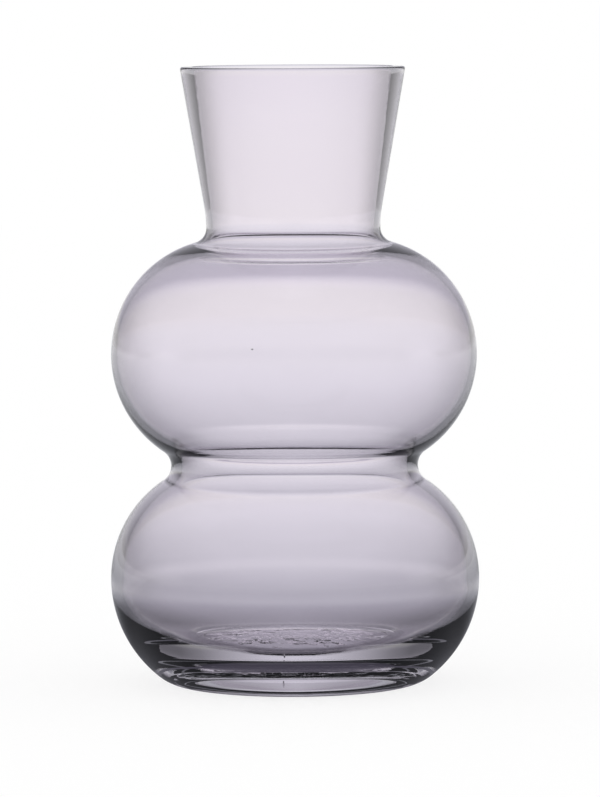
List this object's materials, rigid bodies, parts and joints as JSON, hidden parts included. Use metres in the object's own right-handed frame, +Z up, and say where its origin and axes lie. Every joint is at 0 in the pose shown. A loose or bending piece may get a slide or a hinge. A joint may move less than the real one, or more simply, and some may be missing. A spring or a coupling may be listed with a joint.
{
  "type": "vase",
  "caption": "Double gourd vase in clear tinted glass: two round bulbs with a pinched waist, a thick base and a flared conical neck.",
  "frame": {"origin": "centre of the foot, on the plane the vase stands on", "axes": "+Z up along the axis the vase is turned about, towards the rim; +X and +Y are any two level directions, because the vase is round"},
  "size_m": [0.1492, 0.1492, 0.25],
  "materials": {
    "glass": "clear blown glass with a faint mauve tint, fire-polished"
  },
  "bodies": {
    "root": {"heavy_base": "glass", "lower_bulb": "glass", "waist": "glass", "upper_belly": "glass", "upper_crown": "glass", "shoulder": "glass", "neck": "glass", "rim": "glass"}
  },
  "joints": []
}
